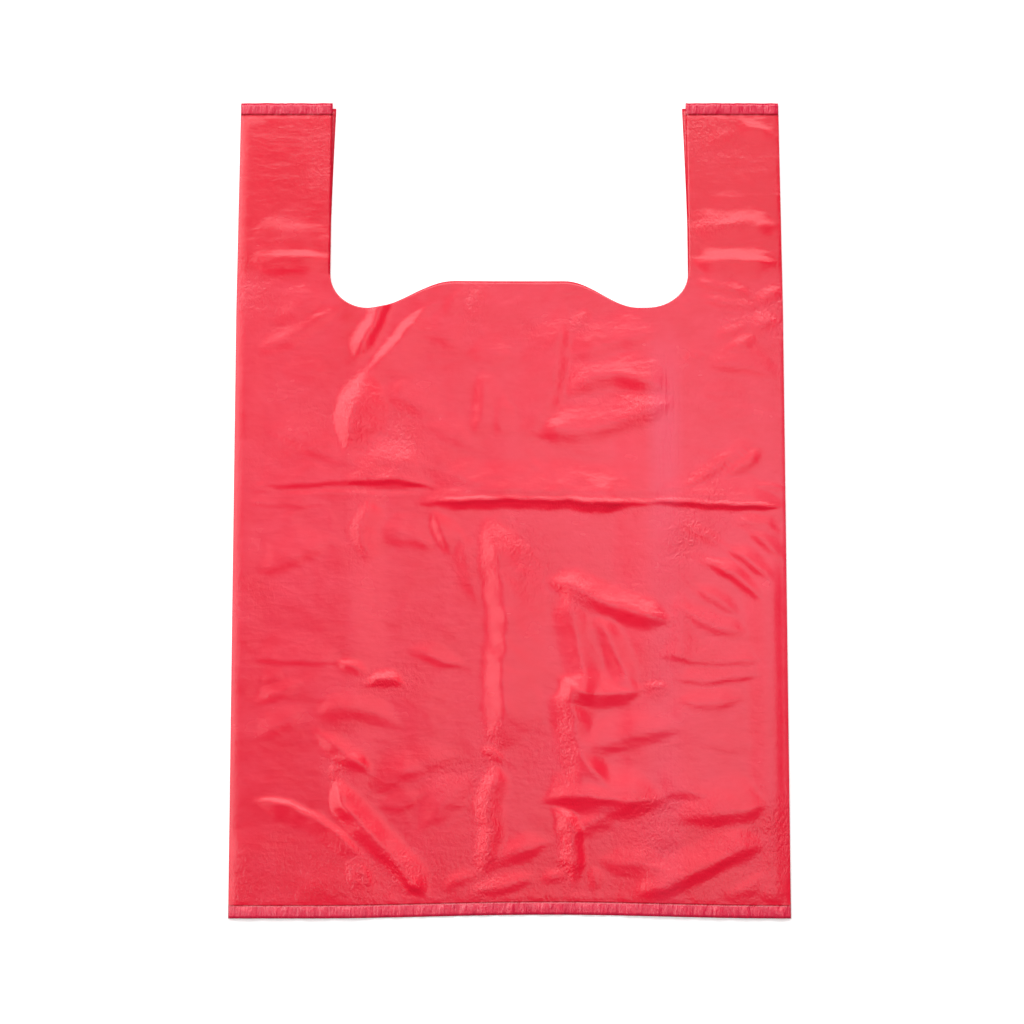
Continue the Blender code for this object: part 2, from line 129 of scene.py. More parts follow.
# Studio, in metres.
BLACK = (0.0, 0.0, 0.0, 1.0)
WHITE = (1.0, 1.0, 1.0, 1.0)
DIM_SKY = (0.14, 0.14, 0.14, 1.0)
NEAR_GLOW = (0.35, 0.35, 0.35, 1.0)
FLOOR_GREY = (0.92, 0.92, 0.92, 1.0)
FLOOR_REACH = 6.0
WHITE_FROM = 0.9
CAMERA_LENS = 87.265
CAMERA_TILT = math.asin(0.12)
CAMERA_DISTANCE = 1.8
CAMERA_AIM = (0.0017, -0.0064, 0.0)

# Small waves: seed, how many, how long, how broad and how high.
SMALL_WAVES = [
    (5, 90, 60.0, 26.0, 0.5),
    (8, 520, 17.0, 3.5, 0.14),
    (21, 150, 42.0, 6.5, 0.17),
]

# Patches of painted sheen, where the film looks paler, or deeper if below zero: middle, half width,
# half height, how much.
PAINTED_SHEEN = [
    (-150, 260, 60, 110, 0.24),
    (130, 310, 110, 140, 0.36),
    (110, 110, 90, 60, 0.28),
    (-150, 60, 70, 110, -0.10),
    (175, 240, 60, 90, 0.26),
    (40, 25, 110, 45, -0.25),
    (-117, 430, 7, 45, -0.30),
]

# Each crease of the front panel: its crest from left to right or from bottom to top, its rise, the
# width of the flank on the left of that line and of the flank on the right, and how sharp it is.
CREASES = [
    # left handle
    ([(-199, 500.5), (-132, 501)], 0.5, 9, 13, 0.3),
    ([(-210, 489.5), (-165, 490.3), (-120, 489.3)], 0.6, 14, 3.2, 0.8),
    ([(-199, 475.5), (-132, 475.5)], 1.2, 18, 10, 0.6),
    ([(-185, 480), (-158, 479), (-120, 476)], 0.6, 5, 3.0, 0.7),
    ([(-190, 470), (-160, 469.5), (-130, 471.5)], 0.5, 5, 3.0, 0.6),
    ([(-176, 471.5), (-155, 472), (-139, 474.5)], 0.35, 3, 2, 0.5),
    # left shoulder
    ([(-172, 431), (-150, 441), (-133, 453)], 0.7, 22, 8, 0.3),
    ([(-192, 405), (-160, 419), (-122, 442)], 0.8, 11, 7, 0.4),
    ([(-114, 399), (-107, 414), (-99, 431), (-88, 464)], 2.4, 10, 8, 0.7),
    ([(-109, 387), (-81, 417), (-58, 445)], 1.5, 7, 20, 0.5),
    ([(-119, 328), (-117, 345), (-117, 352), (-114, 365), (-110, 378), (-106, 392),
      (-102, 401)], 3.2, 13, 26, 0.8),
    ([(-67, 424), (-48, 419), (-36, 411)], 0.7, 24, 8, 0.3),
    ([(-32, 408), (0, 406)], 0.6, 20, 8, 0.3),
    ([(-48, 435), (-33, 459)], 0.45, 5, 12, 0.3),
    ([(-34, 433), (-20, 459)], 0.45, 5, 12, 0.3),
    ([(-166, 394), (-132, 392)], 0.4, 18, 9, 0.2),
    # upper left
    ([(-182, 352), (-160, 346), (-145, 337), (-120, 328), (-103, 323)], 0.8, 26, 7, 0.4),
    ([(-100, 379), (-80, 374), (-60, 366), (-42, 361)], 0.8, 24, 8, 0.4),
    ([(-64, 356), (-40, 347), (-18, 333)], 0.6, 20, 8, 0.3),
    ([(-25, 340), (-20, 370), (-18, 398)], 0.9, 8, 18, 0.3),
    ([(-9, 345), (-5, 378)], 0.6, 7, 14, 0.2),
    ([(-110, 329), (-80, 328), (-60, 324), (-42, 318), (-10, 308)], 1.0, 44, 11, 0.5),
    # the packing fold across the middle, left stretch
    ([(-190, 308.5), (-165, 311), (-130, 312.5), (-104, 314), (-92, 315), (-78, 313.5),
      (-66, 311), (-46, 305.5)], 0.9, 30, 3.2, 0.7),
    ([(-122, 313.5), (-104, 314.5), (-90, 315.5), (-76, 314), (-55, 308.5)], 1.5, 26, 8, 0.8),
    ([(-172, 304), (-120, 304.5), (-58, 303.5)], 0.3, 3.2, 6, 0.5),
    ([(-199, 305.5), (-172, 306.5)], 0.3, 8, 3, 0.5),
    ([(-198, 296.5), (-128, 296.5)], 0.3, 8, 3, 0.5),
    # the packing fold, right stretch
    ([(-70, 296), (-58, 298), (-45, 299.3), (-30, 300), (0, 300), (42, 300), (60, 297), (80, 298),
      (105, 299)], 2.1, 30, 7.5, 0.7),
    ([(-60, 298.2), (-30, 300.3), (42, 300.3), (60, 297.6), (80, 298.5), (120, 298.5),
      (160, 296.5), (199, 294.2)], 0.6, 2.2, 3.0, 0.5),
    ([(40, 300), (60, 297), (84, 298)], 1.0, 20, 11, 0.8),
    ([(98, 299), (120, 298), (140, 297), (170, 295.8), (203, 293.8)], 1.5, 24, 4.5, 0.7),
    ([(-38, 307), (0, 306.8), (60, 306.5), (128, 306.5)], 0.5, 22, 5.5, 0.3),
    ([(120, 302.5), (160, 302)], 0.3, 8, 3, 0.4),
    # left, below the packing fold
    ([(-107, 250), (-103, 262), (-108, 272), (-110, 282), (-104, 290), (-103, 297),
      (-97, 306)], 1.2, 6, 14, 0.5),
    ([(-192, 249), (-172, 250.5), (-150, 260), (-120, 270.5)], 1.1, 28, 7.5, 0.5),
    ([(-103, 270.5), (-85, 272), (-70, 270.5), (-47, 264)], 0.9, 20, 5.5, 0.5),
    ([(-44, 260), (-48, 275), (-55, 291)], 1.4, 8, 14, 0.5),
    ([(-98, 279), (-68, 276)], 0.3, 14, 4, 0.3),
    # the long ridge down the middle and its crumpled foot
    ([(-9, 112), (-6, 130), (-4.5, 150), (-4, 178), (-3, 200), (-2, 222), (-6, 241), (-11, 262),
      (-18, 290)], 2.7, 16, 30, 0.6),
    ([(-22, 222), (-27, 240), (-33, 260), (-38, 282)], 0.7, 9, 12, 0.3),
    ([(-8, 244), (-7, 268), (-10, 290)], 0.5, 9, 16, 0.2),
    ([(-19, 26), (-16, 50), (-14, 64), (-16, 82), (-12, 96), (-11, 113)], 2.4, 10, 12, 0.5),
    ([(-21, 120.5), (-12, 118), (-3, 111)], 1.2, 3.5, 6.5, 0.5),
    ([(-16, 124), (-8, 138)], 0.5, 5, 4, 0.4),
    ([(-63, 61), (-48, 78), (-34, 92), (-25, 103)], 1.5, 24, 12, 0.5),
    # the second packing fold, left
    ([(-194, 184), (-150, 183.3), (-117, 180.5)], 0.7, 22, 3.6, 0.7),
    ([(-125, 181.5), (-112, 178.5), (-103, 173)], 1.1, 6, 5.5, 0.5),
    ([(-105, 165.5), (-95, 170.5), (-84, 171), (-75, 164)], 1.9, 6, 7.5, 0.5),
    ([(-77, 189), (-64, 188.5), (-45, 181.5), (-28, 180)], 0.9, 12, 5, 0.5),
    # lower left
    ([(-185, 152), (-165, 160.5), (-147, 169)], 0.7, 14, 5.5, 0.4),
    ([(-180, 168), (-160, 175)], 0.4, 10, 4, 0.3),
    ([(-184, 127), (-160, 138), (-143, 149)], 0.9, 18, 7, 0.4),
    ([(-143, 143), (-127, 148), (-112, 149.8), (-95, 145), (-77, 135)], 1.2, 13, 9.5, 0.6),
    ([(-141, 135), (-122, 119.5), (-96, 102)], 1.6, 10, 9, 0.6),
    ([(-128, 112.5), (-112, 113.5), (-96, 107)], 0.8, 4, 6, 0.5),
    ([(-127, 98), (-124, 108)], 0.8, 4, 3, 0.5),
    ([(-125, 101), (-120, 80), (-107, 66), (-91, 51), (-77, 36), (-56, 13)], 3.1, 14, 9, 0.9),
    ([(-183, 84), (-158, 80.5), (-137, 70), (-119, 57), (-103, 40)], 1.6, 4.5, 12, 0.8),
    ([(-81, 37), (-72, 26.5), (-61, 16.5)], 1.1, 4, 5.5, 0.5),
    ([(-107, 15), (-112, 30), (-114, 46)], 1.1, 5, 4, 0.4),
    ([(-100, 17), (-104, 30), (-110, 43)], 1.1, 4.5, 6, 0.4),
    ([(-102, 86), (-86, 97), (-60, 109), (-33, 118)], 0.9, 20, 7.5, 0.5),
    ([(-83, 101), (-58, 103.5)], 0.4, 10, 4, 0.4),
    ([(-98, 79), (-78, 79.5), (-57, 89)], 0.6, 14, 5.5, 0.4),
    ([(-47, 20.5), (-38, 26), (-21, 31.5)], 1.0, 7, 5, 0.5),
    ([(-33, 16), (-10, 21), (6, 26), (21, 32)], 1.4, 10, 6.5, 0.5),
    ([(-13, 36), (0, 45), (14, 50.5), (33, 54)], 1.8, 12, 9, 0.5),
    # right handle
    ([(167, 580), (182, 577.5), (199, 571)], 0.9, 6, 13, 0.4),
    ([(145, 564), (166, 572)], 0.35, 7, 6, 0.2),
    ([(144, 521), (179, 523.5)], 0.35, 6, 9, 0.2),
    ([(131, 509), (152, 511.5)], 0.3, 5, 4, 0.3),
    ([(131, 503.5), (165, 504.5), (191, 509)], 0.5, 5, 3, 0.3),
    ([(131, 501), (199, 501.5)], 1.5, 16, 14, 0.5),
    ([(131, 480.8), (199, 480.8)], 0.8, 7, 3, 0.4),
    ([(131, 476.8), (199, 476.3)], 2.2, 5, 15, 0.6),
    # right shoulder
    ([(131, 461.5), (145, 458.5), (160, 454.5), (180, 450)], 1.0, 11, 5, 0.6),
    ([(132, 449), (158, 444), (186, 441)], 0.7, 8, 4, 0.5),
    ([(178, 445), (199, 457.5)], 1.0, 5, 7, 0.5),
    ([(172, 424), (199, 435)], 1.0, 11, 7, 0.5),
    ([(158, 409), (184, 421)], 0.8, 6, 5, 0.5),
    ([(148, 417), (178, 432)], 0.7, 6, 5, 0.5),
    ([(128, 404), (140, 407)], 0.4, 4, 3, 0.4),
    ([(136, 400), (170, 396.5), (198, 390)], 1.1, 24, 4.5, 0.8),
    ([(136, 378), (178, 376)], 0.35, 14, 5, 0.3),
    ([(150, 362), (180, 366)], 0.35, 14, 5, 0.3),
    ([(44, 424), (59, 441)], 0.5, 5, 10, 0.3),
    # upper right
    ([(5, 340), (18, 354), (29.5, 371), (34, 396), (37.5, 420), (39, 448)], 1.2, 30, 9, 0.3),
    ([(36, 404), (62, 410), (80, 418), (112, 422)], 1.5, 22, 9, 0.5),
    ([(38, 374), (60, 389), (75, 392), (90, 390.5), (120, 379)], 2.1, 20, 10, 0.7),
    ([(12, 349), (45, 350), (60, 352), (80, 358), (95, 363), (122, 371)], 2.1, 20, 11, 0.7),
    ([(40, 337), (58, 337), (78, 331)], 0.4, 14, 6, 0.3),
    ([(125, 308), (150, 322), (179, 345)], 0.9, 9, 4, 0.6),
    ([(154, 316), (170, 325), (185, 338)], 1.3, 10, 7, 0.5),
    ([(180, 310), (199, 308)], 0.5, 5, 4, 0.4),
    # right, the pocket below the packing fold
    ([(26, 240), (40, 238), (54, 232.5), (64, 227), (78, 222), (92, 217),
      (118, 210)], 2.7, 15, 11, 0.7),
    ([(58, 152), (51, 180), (49, 200), (46, 215), (42, 238)], 1.9, 15, 16, 0.5),
    ([(90, 160), (76, 190), (58, 222)], 1.7, 13, 12, 0.3),
    ([(122, 168), (124, 236)], 0.6, 10, 12, 0.2),
    ([(171, 278), (186, 268.5), (199, 255)], 1.2, 12, 6, 0.6),
    ([(154, 265), (170, 257.5), (184, 246), (195, 231)], 1.5, 11, 6, 0.6),
    ([(140, 255), (160, 247), (176, 233), (188, 217)], 1.5, 11, 6, 0.6),
    ([(121, 223), (140, 211.5), (154, 205.5), (177, 201)], 1.1, 12, 6, 0.6),
    ([(130, 238), (150, 226), (168, 213)], 1.0, 9, 5, 0.5),
    ([(158, 283.5), (185, 280.5), (199, 273)], 0.9, 10, 4.5, 0.5),
    ([(118, 284), (142, 273.5), (160, 262)], 0.7, 8, 4, 0.5),
    ([(128, 262), (150, 250), (166, 238)], 0.6, 7, 4, 0.4),
    # the second packing fold, right, and what lies below it
    ([(104, 187), (120, 186.5), (131, 183.5), (190, 182.8)], 0.8, 18, 4.5, 0.6),
    ([(116, 169.5), (140, 168.8), (170, 172), (192, 171.3)], 0.8, 16, 4.5, 0.6),
    ([(120, 153.5), (145, 152.5), (172, 155.5)], 0.8, 14, 6.5, 0.4),
    ([(33, 173), (46, 162.5), (58, 159), (78, 160), (98, 162)], 2.4, 17, 10.5, 0.7),
    ([(97, 165), (113, 164)], 0.8, 5, 13, 0.3),
    ([(70, 94), (52, 113), (47, 130), (46, 147), (41, 172)], 2.5, 17, 16, 0.5),
    ([(45, 124.5), (60, 122.5), (78, 126.5), (98, 131.5), (126, 137)], 1.6, 20, 10, 0.6),
    ([(132, 124), (186, 122)], 0.4, 14, 8, 0.2),
    ([(22, 81.5), (40, 87), (60, 85), (82, 83), (104, 83), (116, 85.5)], 3.6, 26, 13, 0.8),
    ([(106, 85), (118, 89), (141, 87)], 1.0, 24, 6, 0.5),
    ([(114, 69), (140, 73), (165, 76), (182, 79.5), (199, 79.5)], 2.0, 27, 9.5, 0.6),
    ([(43, 57), (60, 68.5), (81, 77)], 1.5, 10, 12, 0.4),
    ([(46, 22), (46.5, 45), (46, 60), (40, 71), (29, 80)], 2.8, 11, 8, 0.6),
    ([(87, 13.5), (115, 24), (140, 36.5), (165, 47.5), (185, 52.5)], 2.6, 20, 8, 0.8),
    ([(61, 41.5), (80, 38.5), (100, 36.5), (115, 33)], 1.4, 14, 10, 0.6),
    ([(100, 60), (126, 54)], 0.5, 14, 9, 0.3),
    ([(62, 19), (58, 37)], 0.8, 4.5, 8, 0.4),
    ([(148, 12), (170, 22), (187, 37)], 0.8, 6, 8, 0.4),
    ([(23, 27.5), (39, 31.5)], 1.0, 6, 6.5, 0.5),
]

# Patches where the film is finely crumpled: middle, half width, half height and how strongly.
CRINKLED = [
    (-18, 60, 10, 50, 0.9),
    (-10, 125, 9, 14, 0.9),
    (42, 50, 8, 26, 0.9),
    (42, 125, 7, 30, 0.7),
    (-125, 104, 9, 9, 0.9),
    (-108, 30, 8, 18, 0.7),
    (-88, 168, 22, 9, 0.8),
    (-75, 35, 20, 12, 0.5),
    (-40, 100, 20, 14, 0.6),
    (-28, 442, 10, 20, 0.7),
    (50, 431, 9, 10, 0.7),
    (-110, 275, 9, 26, 0.6),
    (-112, 362, 9, 30, 0.5),
    (48, 228, 14, 12, 0.5),
    (105, 165, 12, 10, 0.6),
    (105, 82, 20, 6, 0.6),
    (60, 296, 60, 7, 0.5),
    (150, 504, 25, 8, 0.6),
    (150, 390, 45, 50, 0.25),
]


def smooth(t):
    """A soft step from 0 at 0 to 1 at 1."""
    t = np.clip(t, 0.0, 1.0)
    return t * t * (3.0 - 2.0 * t)


def mound(x, y, middle_x, middle_y, half_width, half_height):
    """1 at one place, fading to 0 around it."""
    return np.exp(-((x - middle_x) / half_width) ** 2 - ((y - middle_y) / half_height) ** 2)


def weld_line(x):
    """Height of the bottom weld, which bows upwards."""
    reach = np.clip(np.abs(x - BOW_X) / BOW_REACH, 0.0, 1.0)
    return BOTTOM_WELD + BOW * (0.5 + 0.5 * np.cos(math.pi * reach))


def front_base(x):
    """The front panel lies lower between the gussets, where two layers fewer are under it."""
    left = smooth((LEFT_GUSSET_X + 1.0 + IMPRINT - x) / IMPRINT)
    right = smooth((x - RIGHT_GUSSET_X + 1.0 + IMPRINT) / IMPRINT)
    return Z_FRONT_CENTRE + (Z_FRONT - Z_FRONT_CENTRE) * np.maximum(left, right)


def mouth(x):
    """Height of the mouth's edge at each x between the handles."""
    depth = SCOOP_TOP - SCOOP_BOTTOM
    rise = HUMP - SCOOP_BOTTOM
    left = np.clip((LEFT_SCOOP - x) / (LEFT_SCOOP - LEFT_INNER), 0.0, 1.0)
    right = np.clip((x - RIGHT_SCOOP) / (RIGHT_INNER - RIGHT_SCOOP), 0.0, 1.0)
    outer = SCOOP_TOP - depth * np.sqrt(1.0 - np.maximum(left, right) ** 2)
    up = np.clip((x - LEFT_SCOOP) / (-HUMP_HALF - LEFT_SCOOP), 0.0, 1.0)
    right_foot = RIGHT_SCOOP - RIGHT_FLAT
    down = np.clip((right_foot - x) / (right_foot - HUMP_HALF), 0.0, 1.0)
    hump = rise * (0.5 - 0.5 * np.cos(math.pi * np.minimum(up, down)))
    return outer + hump


def crease_height(x, y, points, rise, left_width, right_width, sharp):
    """A crest along a line of points, with its own width of flank on each side."""
    path = np.array(points, float)
    widest = max(left_width, right_width)
    reach = widest + 4.0
    near = (x > path[:, 0].min() - reach) & (x < path[:, 0].max() + reach)
    near &= (y > path[:, 1].min() - reach) & (y < path[:, 1].max() + reach)
    near_x = x[near]
    near_y = y[near]
    steps = np.diff(path, axis=0)
    lengths = np.hypot(steps[:, 0], steps[:, 1])
    starts = np.concatenate([[0.0], np.cumsum(lengths)])
    whole = starts[-1]
    nearest = np.full(near_x.shape, np.inf)
    side = np.zeros(near_x.shape)
    along = np.zeros(near_x.shape)
    for start, step, length, before in zip(path, steps, lengths, starts):
        from_x = near_x - start[0]
        from_y = near_y - start[1]
        t = np.clip((from_x * step[0] + from_y * step[1]) / length ** 2, 0.0, 1.0)
        off_x = from_x - t * step[0]
        off_y = from_y - t * step[1]
        distance = np.hypot(off_x, off_y)
        closer = distance < nearest
        nearest = np.where(closer, distance, nearest)
        side = np.where(closer, step[0] * off_y - step[1] * off_x, side)
        along = np.where(closer, before + t * length, along)
    # A crease sinks and narrows towards its ends, over a good part of its length.
    taper = min(max(22.0, 1.3 * widest), 0.46 * whole)
    ends = smooth((along + 2.0) / taper) * smooth((whole - along + 2.0) / taper)
    width = np.where(side > 0, left_width, right_width) * (0.12 + 0.88 * ends)
    share = np.clip(nearest / width, 0.0, 1.0)
    # A rounded flank blends with a straight one, which has a softer foot on the left.
    rounded = (1.0 - share) ** 2 * (1.0 + 2.0 * share)
    slack = (1.0 - share) ** np.where(side > 0, 1.5 - 0.5 * sharp, 1.0)
    straight = 0.3 + 0.7 * sharp
    height = np.zeros(x.shape)
    height[near] = rise * ends * (straight * slack + (1.0 - straight) * rounded)
    return height


def small_waves(x, y, seed, count, longest, broad, height):
    """Many faint short wrinkles, laid mostly across the bag and some along it."""
    random = np.random.default_rng(seed)
    total = np.zeros(x.shape)
    for _ in range(count):
        middle_x = random.uniform(-195, 195)
        middle_y = random.uniform(14, 580)
        angle = random.normal(0.0, 0.6) + (math.pi / 2 if random.random() < 0.3 else 0.0)
        length = random.uniform(0.35, 1.0) * longest
        width = random.uniform(0.7, 1.3) * broad
        off_x = x - middle_x
        off_y = y - middle_y
        near = (np.abs(off_x) < 2.2 * length) & (np.abs(off_y) < 2.2 * length)
        u = (off_x[near] * math.cos(angle) + off_y[near] * math.sin(angle)) / length
        v = (off_y[near] * math.cos(angle) - off_x[near] * math.sin(angle)) / width
        total[near] += random.uniform(0.3, 1.0) * height * np.exp(-u * u * 2.2 - v * v * 1.6)
    return total


def creased(x, y):
    """The creases and small waves, as high as they would stand on free film."""
    # The lines wander by under a millimetre, so that no crease looks ruled.
    across = x + 0.7 * np.sin(y / 8.3 + 2.0 * np.sin(x / 21.0)) + 0.35 * np.sin(y / 3.1 + x / 4.7)
    along = y + 0.45 * np.sin(x / 9.7 + 1.6 * np.sin(y / 17.0)) + 0.3 * np.sin(x / 3.6 - y / 5.2)
    height = np.zeros(x.shape)
    for crease in CREASES:
        height += crease_height(across, along, *crease)
    uneven = np.sin(x / 5.9 + 1.9 * np.sin(y / 7.7)) * np.sin(y / 6.7 + 1.7 * np.sin(x / 9.1))
    height *= 1.0 + 0.09 * uneven
    for waves in SMALL_WAVES:
        height += small_waves(x, y, *waves)
    return height


def puffed_sides(x, y):
    """The front panel swells a little beside its edge folds, more so low on the right."""
    inset = FOLD_X - np.abs(x)
    left = LEFT_PUFF * smooth(inset / 4.0) * smooth((26.0 - inset) / 20.0)
    fullness = RIGHT_PUFF_HIGH + RIGHT_PUFF_LOW * smooth((270.0 - y) / 40.0)
    right = fullness * smooth(inset / 11.0) * smooth((34.0 - inset) / 22.0)
    return np.where(x < 0, left, right)


def skirt_ripple(x, y):
    """Height of the ripples that run up and down the skirts."""
    phase = x / 1.9 + 2.2 * np.sin(x / 13.0) + 1.3 * np.sin(x / 5.3) + y / 6.0
    short = 0.5 + 0.5 * np.sin(phase)
    long = 0.5 + 0.5 * np.sin(phase * 0.43 + 1.0)
    return SHORT_RIPPLE * short + LONG_RIPPLE * long


def front_height(x, y):
    """Height of the front panel at the middle of its film."""
    inset = FOLD_X - np.abs(x)
    above_bottom = y - weld_line(x)
    below_top = TOP_WELD - y
    # The edge folds and the welds hold the creases down.
    raised = np.maximum(creased(x, y), puffed_sides(x, y))
    raised *= smooth(inset / 4.0)
    raised *= smooth((above_bottom - 0.5) / 9.0) * smooth((below_top - 0.5) / 9.0)
    step = WELD_STEP * smooth((above_bottom + 0.1) / 0.9) * smooth((30.0 - above_bottom) / 28.0)
    step *= smooth(inset / 3.0)
    # The skirts ripple fully and the film just inside the welds a little.
    skirt = smooth((-above_bottom - 0.3) / 4.0) + smooth((-below_top - 0.3) / 4.0)
    beside = smooth((above_bottom - 0.3) / 2.5) * smooth((9.0 - above_bottom) / 6.5)
    beside += smooth((below_top - 0.3) / 2.5) * smooth((8.0 - below_top) / 5.5)
    ripple = skirt_ripple(x, y) * smooth(inset / 6.0) * (skirt + 0.35 * beside)
    return front_base(x) + raised + step + ripple


def spaced(start, end, cells):
    return np.linspace(start, end, cells + 1)


def curved(edge, low, cells):
    """Columns across a scoop, closer together where its edge is steep."""
    return low + (edge - low) * np.cos(spaced(0.0, math.pi / 2, cells))


def columns_across():
    """Columns of the front panel from its left fold to its right one."""
    parts = [
        spaced(-FOLD_X, LEFT_INNER, 27),
        curved(LEFT_INNER, LEFT_SCOOP, 14),
        spaced(LEFT_SCOOP, -HUMP_HALF, 26),
        spaced(-HUMP_HALF, HUMP_HALF, 32),
        spaced(HUMP_HALF, RIGHT_SCOOP, 25),
        curved(RIGHT_INNER, RIGHT_SCOOP, 14)[::-1],
        spaced(RIGHT_INNER, FOLD_X, 27),
    ]
    return np.concatenate([parts[0]] + [part[1:] for part in parts[1:]])


def row_heights():
    """Rows up the bag, finer in the bands where the creases are sharp."""
    rows = list(BOTTOM_ROWS)
    while rows[-1] < TOP_ROWS[0]:
        fine = any(low < rows[-1] < high for low, high in FINE_BANDS)
        rows.append(rows[-1] + (FINE_ROW if fine else PLAIN_ROW))
    below_top = [row for row in rows if row < TOP_ROWS[0] - 2.0]
    rows = np.array(below_top + TOP_ROWS)
    for station in STATIONS:
        rows[np.argmin(np.abs(rows - station))] = station
    return rows


def turn(centre_x, centre_z, start, end):
    """Section points round one fold, leaving out both its ends."""
    angles = np.radians(np.linspace(start, end, FOLD_STEPS + 1)[1:-1])
    return [(centre_x + FOLD_R * math.cos(a), centre_z + FOLD_R * math.sin(a)) for a in angles]


def film_section(across):
    """Once round the tube: x, z and the layer of each point, clockwise from the front's left fold."""
    low = (Z_BACK + Z_GUSSET_LOW) / 2
    middle = (Z_GUSSET_LOW + Z_GUSSET_HIGH) / 2
    high = (Z_GUSSET_HIGH + Z_FRONT) / 2
    left_gusset = list(across[(across > -FOLD_X) & (across < LEFT_GUSSET_X - 2.0)])
    right_gusset = list(across[(across > RIGHT_GUSSET_X + 2.0) & (across < FOLD_X)])
    left_tip = LEFT_GUSSET_X - FOLD_R
    right_tip = RIGHT_GUSSET_X + FOLD_R
    left_run = [-FOLD_X] + left_gusset + [left_tip]
    right_run = [right_tip] + right_gusset + [FOLD_X]
    section = [(x, Z_FRONT, FRONT) for x in across]
    section += [(x, z, GUSSET) for x, z in turn(FOLD_X, high, 90, -90)]
    section += [(x, Z_GUSSET_HIGH, GUSSET) for x in reversed(right_run)]
    section += [(x, z, GUSSET) for x, z in turn(right_tip, middle, 90, 270)]
    section += [(x, Z_GUSSET_LOW, REAR) for x in right_run]
    section += [(x, z, REAR) for x, z in turn(FOLD_X, low, 90, -90)]
    section += [(x, Z_BACK, REAR) for x in reversed(across)]
    section += [(x, z, REAR) for x, z in turn(-FOLD_X, low, -90, -270)]
    section += [(x, Z_GUSSET_LOW, REAR) for x in left_run]
    section += [(x, z, GUSSET) for x, z in turn(left_tip, middle, -90, 90)]
    section += [(x, Z_GUSSET_HIGH, GUSSET) for x in reversed(left_run)]
    section += [(x, z, GUSSET) for x, z in turn(-FOLD_X, high, -90, -270)]
    return section


def handles_moved(x, y, rear):
    """The handles lean inwards, and their rear layers have slipped further and lie lower."""
    slip = SLIP * np.clip((y - SLIP_START) / (SLIP_END - SLIP_START), 0.0, 1.0) ** 1.3
    from_left = (x + FOLD_X) / (LEFT_INNER + FOLD_X)
    from_right = (FOLD_X - x) / (FOLD_X - RIGHT_INNER)
    inwards = np.clip(np.where(x < 0, from_left, from_right), 0.0, 1.0)
    leaning = LEAN * np.clip((y - LEAN_START) / (LENGTH - LEAN_START), 0.0, 1.0)
    moved = np.abs(x) / HALF * leaning
    moved = np.where(rear, moved + (slip - moved) * inwards * (y > SLIP_START), moved)
    dropped = REAR_DROP * np.clip((y - TOP_SKIRT_START) / (LENGTH - TOP_SKIRT_START), 0.0, 1.0)
    return x - np.sign(x) * moved, y - np.where(rear, dropped, 0.0)


def film_faces(rows, index, on_front, in_opening):
    """Faces round the tube, with every row on the front panel and only the stations elsewhere."""
    every_row = np.arange(len(rows))
    stations = every_row[np.isin(rows, STATIONS)]
    loop = len(on_front)
    faces = []
    for here in range(loop):
        there = (here + 1) % loop
        in_mouth = in_opening[here] or in_opening[there]
        stops = every_row if on_front[here] and on_front[there] else stations
        for a, b in zip(stops, stops[1:]):
            if in_mouth and rows[a] >= SCOOP_TOP:
                break
            near = range(a, b + 1) if on_front[here] else (a, b)
            far = range(a, b + 1) if on_front[there] else (a, b)
            faces.append([index[j, there] for j in far] + [index[j, here] for j in reversed(near)])
    return faces


def film_mesh():
    """Mid-surface of the whole tube, and what its shading needs to know of each vertex."""
    rows = row_heights()
    across = columns_across()
    section = film_section(across)
    loop = len(section)
    x = np.tile([point[0] for point in section], (len(rows), 1))
    z = np.tile([point[1] for point in section], (len(rows), 1))
    layer = np.array([point[2] for point in section])
    row = np.repeat(rows[:, None], loop, axis=1)
    in_opening = (x > LEFT_INNER + 1e-6) & (x < RIGHT_INNER - 1e-6)

    # The rows under the mouth close up to follow its edge, and the lowest ones follow the weld.
    share = np.clip((row - BLOCK_START) / (SCOOP_TOP - BLOCK_START), 0.0, 1.0)
    under_mouth = BLOCK_START + share * (mouth(x) - BLOCK_START)
    y = np.where(in_opening & (row > BLOCK_START), under_mouth, row)
    y += (weld_line(x) - BOTTOM_WELD) * (1.0 - smooth(row / BOW_DEPTH))

    fine = len(across)
    front_x = x[:, :fine]
    front_y = y[:, :fine]
    front_z = front_height(front_x, front_y)
    z[:, :fine] = front_z
    # In the mouth the rows have closed up, so their spacing is kept above zero.
    spacing = np.maximum(np.gradient(front_y, axis=0), 0.1)
    uphill = np.gradient(front_z, axis=0) / spacing
    sideways = np.gradient(front_z, axis=1) / np.gradient(front_x, axis=1)
    steep = np.zeros(x.shape)
    steep[:, :fine] = np.hypot(uphill, sideways)
    placed_x, placed_y = handles_moved(x, y, layer == REAR)

    on_front = np.arange(loop) < fine
    kept = (row <= SCOOP_TOP) | ~in_opening
    kept &= on_front | np.isin(row, STATIONS)
    index = np.full(x.shape, -1, dtype=int)
    index[kept] = np.arange(int(kept.sum()))
    places = np.stack([placed_x, placed_y - LENGTH / 2, z], axis=-1)[kept] * MM
    mesh = bpy.data.meshes.new("film")
    mesh.from_pydata(places.tolist(), [], film_faces(rows, index, on_front, in_opening[0]))
    mesh.update()
    facts = {
        "x": x[kept],
        "y": y[kept],
        "steep": steep[kept],
        "front": np.tile(layer == FRONT, (len(rows), 1))[kept],
    }
    return mesh, facts


def store(mesh, name, values):
    attribute = mesh.attributes.new(name, "FLOAT", "POINT")
    attribute.data.foreach_set("value", np.asarray(values, dtype=np.float32))


